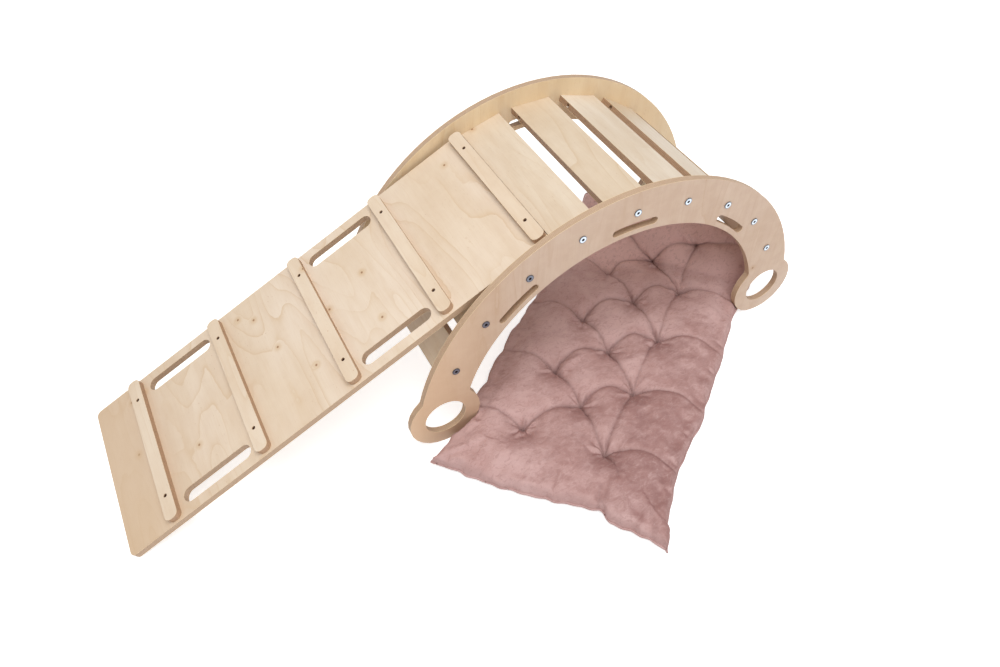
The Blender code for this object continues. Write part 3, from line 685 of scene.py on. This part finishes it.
def crease(start, end, kind):
    """Close points along a bowed crease, each with its share of the full depth."""
    (x0, y0), (x1, y1) = start, end
    bow, share, far_share = CREASE_KINDS[kind]
    count = max(6, round(math.hypot(x1 - x0, y1 - y0) / CREASE_STEP))
    points = []
    for i in range(count + 1):
        t = i / count
        swing = math.sin(math.pi * t)
        deep = (share + (far_share - share) * t) * (1 - CREASE_LOSS * swing)
        points.append((x0 + (x1 - x0) * t + bow[0] * swing, y0 + (y1 - y0) * t + bow[1] * swing, deep))
    return points


def side_crease(tuft, end, kind):
    """A crease from a tuft out to a side of the cushion."""
    return crease(tuft, (tuft[0] + end[0], tuft[1] + end[1]), kind)


def crease_points():
    """Creases from each tuft to its diagonal neighbours, and from the outer ones to the sides."""
    right, middle, left = tuft_columns()
    points = []
    for index, tuft in enumerate(right):
        points += side_crease(tuft, CREASE_RIGHT_END, "right side")
        if index < len(middle):
            kind = "first right to right" if index == 0 else "right to right"
            points += crease(tuft, middle[index], "right to middle")
            points += crease(middle[index], right[index + 1], "middle to right")
            points += crease(tuft, right[index + 1], kind)
    for index, tuft in enumerate(left):
        points += side_crease(tuft, CREASE_LEFT_END, "left side")
        if index < len(middle):
            kind = "first left to middle" if index == 0 else "left to middle"
            points += crease(tuft, middle[index], kind)
            points += crease(middle[index], left[index + 1], "middle to left")
    points += crease(right[0], CREASE_CORNER_END, "corner")
    points += crease(DENT_START, DENT_END, "dent")
    return points


def flat_point(u, v, upper, tufts):
    """A point of the cushion before it is puffed, and how far the fabric has risen there from its seam."""
    front = follow(CUSHION_FRONT, v) + waves(FRONT_WAVES, v)
    rear = follow(CUSHION_REAR, v)
    along = front + (rear - front) * u
    wave = waves(SIDE_WAVES, along)
    right = follow(CUSHION_RIGHT, along) + wave
    left = follow(CUSHION_LEFT, along) + wave
    across = right + (left - right) * v
    edges = (along - front, rear - along, across - right, left - across)
    inward = rise_between(min(edges), 0.0, CUSHION_SIDE_ROUND)
    bulges = [CUSHION_BULGE * math.sin(math.pi * rise_between(edge, 0.0, CUSHION_BULGE_REACH))
              for edge in edges]
    along += bulges[1] - bulges[0]
    across += bulges[3] - bulges[2]
    swell = (1 - (1 - inward) ** 2.3) ** 0.8
    if not upper:
        return Vector((along, across, CUSHION_SEAM_HEIGHT * (1 - swell))), swell
    height = CUSHION_SEAM_HEIGHT + (CUSHION_CROWN - CUSHION_SEAM_HEIGHT) * swell
    for x, y in tufts:
        reach = math.hypot(along - x, across - y)
        height -= TUFT_DISH_DEPTH * math.exp(-(reach / TUFT_DISH_SPREAD) ** 2)
    return Vector((along, across, height)), swell


def flat_nets(tufts):
    """Nets of the cushion's top and base, row by row: places, and the rise of the fabric."""
    rows, columns = CUSHION_CELLS
    places = {}
    rises = {}
    for upper in (True, False):
        pairs = [[flat_point(i / rows, j / columns, upper, tufts) for j in range(columns + 1)]
                 for i in range(rows + 1)]
        places[upper] = [[pair[0] for pair in row] for row in pairs]
        rises[upper] = [[pair[1] for pair in row] for row in pairs]
    return places, rises


def joined_mesh(name, top, base):
    """One closed mesh from two nets that share their rim, with its vertices by net, row and column."""
    rows, columns = len(top) - 1, len(top[0]) - 1
    verts = []
    faces = []
    index_of = {}
    for upper, net in ((True, top), (False, base)):
        for i in range(rows + 1):
            for j in range(columns + 1):
                on_rim = i in (0, rows) or j in (0, columns)
                if on_rim and not upper:
                    index_of[upper, i, j] = index_of[True, i, j]
                    continue
                index_of[upper, i, j] = len(verts)
                verts.append(net[i][j])
        for i in range(rows):
            for j in range(columns):
                ring = [index_of[upper, i, j], index_of[upper, i + 1, j],
                        index_of[upper, i + 1, j + 1], index_of[upper, i, j + 1]]
                faces.append(ring[::-1] if upper else ring)
    mesh = bpy.data.meshes.new(name)
    mesh.from_pydata(verts, [], faces)
    mesh.update()
    return mesh, index_of


def puff(places, rises, tufts):
    """Swells the cushion between its tufts with a short cloth simulation."""
    mesh, index_of = joined_mesh("puffing", places[True], places[False])
    thing = bpy.data.objects.new("puffing", mesh)
    bpy.context.scene.collection.objects.link(thing)
    held = thing.vertex_groups.new(name="held")
    pinned = set()
    for (upper, _, _), index in index_of.items():
        place = mesh.vertices[index].co
        if not upper:
            pinned.add(index)
        elif any(math.hypot(place.x - x, place.y - y) < TUFT_PIN_RADIUS for x, y in tufts):
            pinned.add(index)
    held.add(sorted(pinned), 1.0, "REPLACE")
    cloth = thing.modifiers.new("puff", "CLOTH")
    settings = cloth.settings
    settings.quality = 6
    settings.mass = 0.25
    settings.air_damping = 4.0
    settings.tension_stiffness = 18.0
    settings.compression_stiffness = 14.0
    settings.shear_stiffness = 6.0
    settings.bending_stiffness = 0.5
    settings.vertex_group_mass = "held"
    settings.use_pressure = True
    settings.uniform_pressure_force = 4.5
    settings.shrink_min = -0.045
    settings.effector_weights.gravity = 0.0
    cloth.collision_settings.use_collision = False
    scene = bpy.context.scene
    cloth.point_cache.frame_start = 1
    cloth.point_cache.frame_end = PUFF_FRAMES
    for number in range(1, PUFF_FRAMES + 1):
        scene.frame_set(number)
    graph = bpy.context.evaluated_depsgraph_get()
    moved = [vert.co.copy() for vert in thing.evaluated_get(graph).data.vertices]
    scene.frame_set(1)
    for (upper, i, j), index in index_of.items():
        old = places[upper][i][j]
        shift = moved[index] - old
        if shift.length > PUFF_LIMIT:
            shift = shift * (PUFF_LIMIT / shift.length)
        if upper:
            shift = shift * (PUFF_AT_SEAM + (1.0 - PUFF_AT_SEAM) * rises[i][j] ** 2)
        places[upper][i][j] = old + shift
        places[upper][i][j].z = max(places[upper][i][j].z, 0.0)
    bpy.data.objects.remove(thing)


def doubled(line):
    """A line of values with a smooth one put between each two."""
    result = []
    last = len(line) - 1
    for i in range(last):
        result.append(line[i])
        if 0 < i < last - 1:
            result.append((9.0 * (line[i] + line[i + 1]) - line[i - 1] - line[i + 2]) / 16.0)
        else:
            result.append((line[i] + line[i + 1]) / 2.0)
    result.append(line[last])
    return result


def refined(net):
    """A net with twice as many rows and columns."""
    wider = [doubled(row) for row in net]
    columns = [doubled([row[j] for row in wider]) for j in range(len(wider[0]))]
    return [[column[i] for column in columns] for i in range(len(columns[0]))]


def broad_light(x, y):
    """How much painted light and shade the velvet gets apart from the tufts: lighter to the left and rear,
    darker to the right and across the bend.
    """
    gain, middle = LEFT_LIGHT
    light = gain * (y - middle)
    for gain, start, end in (MIDDLE_LIGHT, REAR_LIGHT):
        light += gain * rise_between(x, start, end)
    gain, middle, width = BEND_SHADE
    return light - gain * math.exp(-((x - middle) / width) ** 2) * rise_between(y, *BEND_SHADE_SIDES)


def tuft_marks(x, y, tufts):
    """How far the tufts press the fabric down at a point, how much painted shade its folds get, and how
    much painted light and shade it gets round the tufts.
    """
    press = 0.0
    fold_shade = 0.0
    light = 0.0
    for number, (along, across) in enumerate(tufts):
        gap = math.hypot(x - along, y - across)
        if gap > TUFT_REACH:
            continue
        press += TUFT_CUSP_DEPTH * math.exp(-gap / TUFT_CUSP_SPREAD)
        # Painted shade close round the tuft
        fold_shade = max(fold_shade, math.exp(-gap / TUFT_SHADE_WIDTH))
        turn = math.atan2(y - across, x - along)
        pleat = math.sin(7 * turn + number) + 0.6 * math.sin(12 * turn + 2.3 * number)
        press += PLEAT_DEPTH * pleat * math.exp(-((gap - PLEAT_PLACE) / PLEAT_SPREAD) ** 2)
        # Painted light in a wedge on the rear side of each tuft, painted shade on its front side
        facing = math.cos(turn - TUFT_LIGHT_TURN)
        light += max(facing, 0.0) ** 3 * math.exp(-gap / TUFT_LIGHT_REACH) * min(gap / TUFT_LIGHT_CLEAR, 1.0)
        light -= max(-facing, 0.0) * math.exp(-gap / TUFT_SHADE_REACH)
    return press, fold_shade, light


def sculpt(top, flat, rise, tufts):
    """Presses the tufts and creases in after the puffing.

    Returns the painted shade of each point's folds, and the painted light and shade of its nap.
    """
    points = crease_points()
    tree = KDTree(len(points))
    for index, (x, y, _) in enumerate(points):
        tree.insert((x, y, 0.0), index)
    tree.balance()
    fold_shades = []
    painted_lights = []
    for i, row in enumerate(top):
        fold_shade_row = []
        painted_light_row = []
        for j, place in enumerate(row):
            x, y = flat[i][j].x, flat[i][j].y
            _, index, reach = tree.find((x, y, 0.0))
            deep = points[index][2]
            press, fold_shade, light = tuft_marks(x, y, tufts)
            press += CREASE_DEPTH * deep * math.exp(-reach / CREASE_WIDTH)
            # Painted shade along the crease
            fold_shade = max(fold_shade, 0.95 * deep * math.exp(-reach / CREASE_SHADE_WIDTH))
            press += lumps(SOFT_LUMPS, x, y)
            share = rise[i][j]
            pucker = lumps(SEAM_PUCKERS, x, y) * share * (1.0 - share)
            place.z = max(place.z - press * min(share * 1.3, 1.0) - pucker, 0.001)
            # Painted shade for the folds
            fold_shade_row.append(min(fold_shade, 1.0) * min(share * 2.0, 1.0))
            # Painted light and shade for the nap, from the tufts and from the whole cushion
            painted_light_row.append(light + broad_light(x, y))
        fold_shades.append(fold_shade_row)
        painted_lights.append(painted_light_row)
    return fold_shades, painted_lights


def curl_up(point):
    """Bends the cushion up past its curl line, like a mat pushed against a wall."""
    heading = Vector((math.cos(CURL_HEADING), math.sin(CURL_HEADING), 0.0))
    past = point.dot(heading) - CURL_START
    if past <= 0.0:
        return point
    angle = min(past / CURL_RADIUS, CURL_ANGLE)
    straight = past - angle * CURL_RADIUS
    inner = CURL_RADIUS - point.z
    forward = inner * math.sin(angle) + straight * math.cos(angle)
    height = CURL_RADIUS - inner * math.cos(angle) + straight * math.sin(angle)
    base = point - heading * past
    return Vector((base.x + heading.x * forward, base.y + heading.y * forward, height))


def clear_feet(point):
    """Squashes the velvet aside where a foot of the near panel stands in it."""
    beside = max(0.0, abs(point.y - PANEL_PLACE) - PANEL_HALF)
    needed = FOOT_RADIUS - beside * 2.0
    for side in (-1, 1):
        across = point.x - side * FOOT_SPREAD
        rise = point.z - FOOT_HEIGHT
        reach = math.hypot(across, rise)
        if reach < needed and across * side < 0:
            share = needed / max(reach, 0.02)
            height = max(FOOT_HEIGHT + rise * share, 0.001)
            offset = math.sqrt(max(needed**2 - (height - FOOT_HEIGHT) ** 2, 0.0))
            point = Vector((side * (FOOT_SPREAD - offset), point.y, height))
    return point


def seam_lip(rim, inward, material):
    """A stitched double lip round the cushion, following its rim."""
    verts = []
    faces = []
    count = len(rim)
    for i, place in enumerate(rim):
        outward = (place - inward[i]).normalized()
        ahead = (rim[(i + 3) % count] - rim[i - 3]).normalized()
        up = outward.cross(ahead).normalized()
        if up.z < 0:
            up = -up
        for out, lift in SEAM_SECTION:
            verts.append(place + outward * out * SEAM_LIP + up * lift * SEAM_LIP * SEAM_FLATNESS)
    size = len(SEAM_SECTION)
    for i in range(count):
        after = (i + 1) % count
        for k in range(size):
            m = (k + 1) % size
            faces.append((i * size + k, after * size + k, after * size + m, i * size + m))
    mesh = bpy.data.meshes.new("cushion_seam")
    mesh.from_pydata(verts, [], faces)
    mesh.update()
    mesh.shade_smooth()
    lip = bpy.data.objects.new("cushion_seam", mesh)
    bpy.context.scene.collection.objects.link(lip)
    mesh.materials.append(material)
    return lip


def rim_keys(rows, columns):
    """Rows and columns round a net's rim, in order."""
    keys = [(i, 0) for i in range(rows + 1)]
    keys += [(rows, j) for j in range(1, columns + 1)]
    keys += [(i, columns) for i in range(rows - 1, -1, -1)]
    keys += [(0, j) for j in range(columns - 1, 0, -1)]
    return keys


def crown_middle():
    """The floor below the middle of the crown slat."""
    low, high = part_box("slat_5")
    return Vector(((low[0] + high[0]) / 2, (low[1] + high[1]) / 2, 0.0))


def rim_lines(top, base):
    """The cushion's rim, and a line a little inside it."""
    rows, columns = len(top) - 1, len(top[0]) - 1
    rim = []
    inward = []
    for i, j in rim_keys(rows, columns):
        inner_i, inner_j = min(max(i, 3), rows - 3), min(max(j, 3), columns - 3)
        rim.append(top[i][j])
        inward.append((top[inner_i][inner_j] + base[inner_i][inner_j]) / 2)
    return rim, inward


def make_cushion():
    """The velvet cushion: puffed, tufted, curled up at its rear and seamed."""
    middle = crown_middle()
    tufts = [tuft for column in tuft_columns() for tuft in column]
    places, rises = flat_nets(tufts)
    flat = refined(refined([[place.copy() for place in row] for row in places[True]]))
    puff(places, rises[True], tufts)
    top, base = refined(refined(places[True])), refined(refined(places[False]))
    fold_shades, painted_lights = sculpt(top, flat, refined(refined(rises[True])), tufts)
    turn = Matrix.Translation(CUSHION_OFFSET) @ Matrix.Rotation(CUSHION_TURN, 4, "Z")
    for net in (top, base):
        for row in net:
            for j, place in enumerate(row):
                row[j] = middle + clear_feet(curl_up(turn @ place))
    mesh, index_of = joined_mesh("velvet_cushion", top, base)
    # Painted shade for the folds
    fold_shade = mesh.attributes.new("fold_shade", "FLOAT", "POINT")
    # Painted light and shade for the nap
    nap = mesh.attributes.new("nap", "FLOAT", "POINT")
    for (upper, i, j), index in index_of.items():
        if upper:
            fold_shade.data[index].value = fold_shades[i][j]
            nap.data[index].value = painted_lights[i][j]
    thing = bpy.data.objects.new("velvet_cushion", mesh)
    bpy.context.scene.collection.objects.link(thing)
    mesh.shade_smooth()
    material = velvet("velvet_mauve")
    mesh.materials.append(material)
    lip = seam_lip(*rim_lines(top, base), material)
    for piece in (thing, lip):
        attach(piece, "cushion")
    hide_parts("floor_cushion")


def make_floor():
    """A floor that shows white to the camera, but keeps the shadow."""
    reach = FLOOR_REACH
    mesh = bpy.data.meshes.new("floor")
    mesh.from_pydata([(-reach, -reach, 0), (reach, -reach, 0), (reach, reach, 0), (-reach, reach, 0)],
                     [], [(0, 1, 2, 3)])
    floor = bpy.data.objects.new("floor", mesh)
    floor.location.z = -FLOOR_DROP
    bpy.context.scene.collection.objects.link(floor)
    g = Graph("floor_white")
    g.shader.inputs["Base Color"].default_value = FLOOR_TONE
    g.shader.inputs["Roughness"].default_value = 0.9
    seen = g.node("ShaderNodeLightPath")
    glow = g.node("ShaderNodeEmission")
    glow.inputs["Color"].default_value = WHITE
    share = g.math("MAXIMUM", seen.outputs["Is Camera Ray"], seen.outputs["Is Glossy Ray"])
    share = g.math("MAXIMUM", share, seen.outputs["Is Transmission Ray"])
    g.feed(glow.inputs["Strength"], g.math("MULTIPLY", share, FLOOR_GLOW))
    total = g.node("ShaderNodeAddShader")
    g.feed(total.inputs[0], g.shader.outputs[0])
    g.feed(total.inputs[1], glow.outputs[0])
    output = g.tree.nodes["Material Output"]
    g.feed(output.inputs["Surface"], total.outputs[0])
    mesh.materials.append(g.material)
    floor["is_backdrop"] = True


def make_world():
    """A world that shows white to the camera and lights the model plainly."""
    world = bpy.data.worlds.new("studio")
    world.use_nodes = True
    bpy.context.scene.world = world
    tree = world.node_tree
    paths = tree.nodes.new("ShaderNodeLightPath")
    shown = tree.nodes.new("ShaderNodeMath")
    shown.operation = "MAXIMUM"
    tree.links.new(paths.outputs["Is Camera Ray"], shown.inputs[0])
    tree.links.new(paths.outputs["Is Transmission Ray"], shown.inputs[1])
    strength = tree.nodes.new("ShaderNodeMapRange")
    strength.inputs["To Min"].default_value = WORLD_LIGHT
    strength.inputs["To Max"].default_value = 1.0
    tree.links.new(shown.outputs[0], strength.inputs["Value"])
    background = tree.nodes["Background"]
    background.inputs["Color"].default_value = WHITE
    tree.links.new(strength.outputs[0], background.inputs["Strength"])


def make_lamps():
    """Two soft round lamps that aim at the model's middle."""
    low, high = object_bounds()
    centre = Vector(((low[0] + high[0]) / 2, (low[1] + high[1]) / 2, LAMP_AIM))
    for name, offset, size, power in LAMPS:
        lamp = bpy.data.lights.new(name, "AREA")
        lamp.shape = "DISK"
        lamp.size = size
        lamp.energy = power
        light = bpy.data.objects.new(name, lamp)
        light.location = centre + Vector(offset)
        light.rotation_euler = (centre - light.location).to_track_quat("-Z", "Y").to_euler()
        bpy.context.scene.collection.objects.link(light)


def make_camera():
    """The photograph's camera, placed from the crown slat."""
    lens = bpy.data.cameras.new("camera")
    lens.lens = CAMERA_LENS
    lens.sensor_width = CAMERA_SENSOR
    lens.sensor_fit = "HORIZONTAL"
    camera = bpy.data.objects.new("camera", lens)
    sin_a, cos_a = math.sin(CAMERA_HEADING), math.cos(CAMERA_HEADING)
    sin_p, cos_p = math.sin(CAMERA_PITCH), math.cos(CAMERA_PITCH)
    back = Vector((sin_a * cos_p, -cos_a * cos_p, sin_p))
    right = Vector((cos_a, sin_a, 0.0))
    up = back.cross(right)
    level = math.cos(CAMERA_ROLL) * right + math.sin(CAMERA_ROLL) * up
    rise = -math.sin(CAMERA_ROLL) * right + math.cos(CAMERA_ROLL) * up
    turn = Matrix((level, rise, back)).transposed().to_4x4()
    camera.matrix_world = Matrix.Translation(crown_middle() + CAMERA_OFFSET) @ turn
    bpy.context.scene.collection.objects.link(camera)
    bpy.context.scene.camera = camera


def main():
    """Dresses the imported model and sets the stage."""
    make_camera()
    smoothing = smoothing_group()
    dress_wood(smoothing)
    dress_metal(smoothing)
    make_cushion()
    make_floor()
    make_world()
    make_lamps()
    bpy.context.scene.view_settings.view_transform = "Standard"
    bpy.context.view_layer.update()


main()
